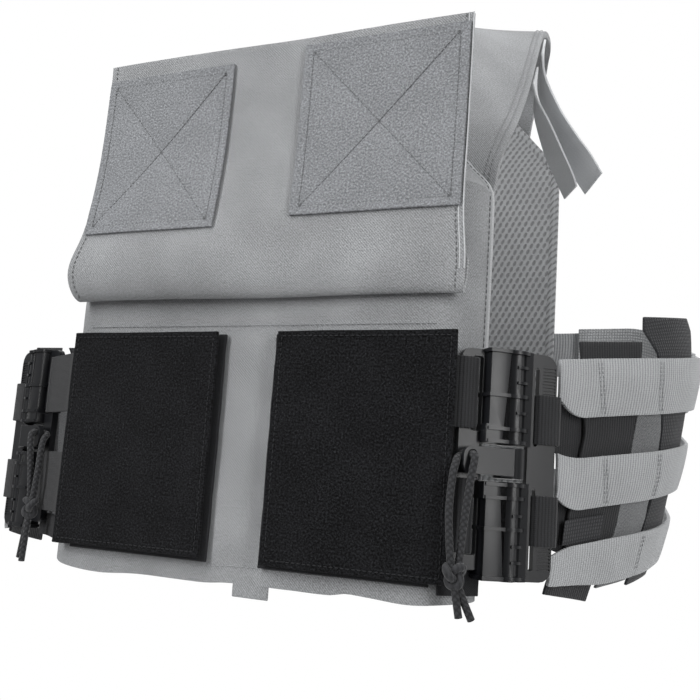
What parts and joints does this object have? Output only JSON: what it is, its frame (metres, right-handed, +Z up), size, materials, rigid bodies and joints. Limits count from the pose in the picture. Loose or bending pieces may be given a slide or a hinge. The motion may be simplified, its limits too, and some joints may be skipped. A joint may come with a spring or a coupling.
{
  "type": "plate carrier vest",
  "caption": "Grey tactical vest in its worn shape: front and back plate bags, wide shoulder straps, webbing side rows and black quick release side buckles.",
  "frame": {"origin": "where the underside of the shoulder straps' highest stretch rests on the wearer, midway between them", "axes": "+X to the wearer's left, +Y from the chest to the back, +Z up; the front and back panels lean back by 9.6 degrees"},
  "size_m": [0.482, 0.3093, 0.3847],
  "materials": {
    "carrier_cloth": "matte",
    "carrier_webbing": "matte",
    "spacer_mesh": "matte",
    "flap_loop": "matte",
    "black_loop": "matte",
    "black_webbing": "matte",
    "black_cloth": "matte",
    "buckle_plastic": "satin",
    "black_cord": "matte"
  },
  "bodies": {
    "root": {"front_face": "carrier_cloth", "back_face": "carrier_cloth", "front_flap": "carrier_cloth", "back_flap": "carrier_cloth", "front_lining": "spacer_mesh", "back_lining": "spacer_mesh", "front_bottom_tab": "carrier_webbing", "flap_patch_left": "flap_loop", "loop_panel_left": "black_loop", "loop_backing_left": "black_cloth", "shoulder_strap_left": "carrier_cloth", "strap_tail_a_left": "carrier_webbing", "strap_tail_b_left": "carrier_webbing", "buckle_inner_half_left": "buckle_plastic", "buckle_outer_half_left": "buckle_plastic", "buckle_pull_tab_left": "buckle_plastic", "inner_strap_upper_left": "black_webbing", "inner_strap_lower_left": "black_webbing", "outer_strap_upper_left": "black_webbing", "outer_strap_lower_left": "black_webbing", "adapter_foot_left": "black_cloth", "cord_front_strand_left": "black_cord", "cord_rear_strand_left": "black_cord", "cord_knot_left": "black_cord", "row_upper_left": "carrier_webbing", "row_middle_left": "carrier_webbing", "row_lower_left": "carrier_webbing", "stay_front_left": "black_webbing", "stay_middle_left": "carrier_cloth", "stay_rear_left": "black_webbing", "rear_band_left": "carrier_webbing", "flap_patch_right": "flap_loop", "loop_panel_right": "black_loop", "loop_backing_right": "black_cloth", "shoulder_strap_right": "carrier_cloth", "strap_tail_a_right": "carrier_webbing", "strap_tail_b_right": "carrier_webbing", "buckle_inner_half_right": "buckle_plastic", "buckle_outer_half_right": "buckle_plastic", "buckle_pull_tab_right": "buckle_plastic", "inner_strap_upper_right": "black_webbing", "inner_strap_lower_right": "black_webbing", "outer_strap_upper_right": "black_webbing", "outer_strap_lower_right": "black_webbing", "adapter_foot_right": "black_cloth", "cord_front_strand_right": "black_cord", "cord_rear_strand_right": "black_cord", "cord_knot_right": "black_cord", "row_upper_right": "carrier_webbing", "row_middle_right": "carrier_webbing", "row_lower_right": "carrier_webbing", "stay_front_right": "black_webbing", "stay_middle_right": "carrier_cloth", "stay_rear_right": "black_webbing", "rear_band_right": "carrier_webbing"}
  },
  "joints": []
}
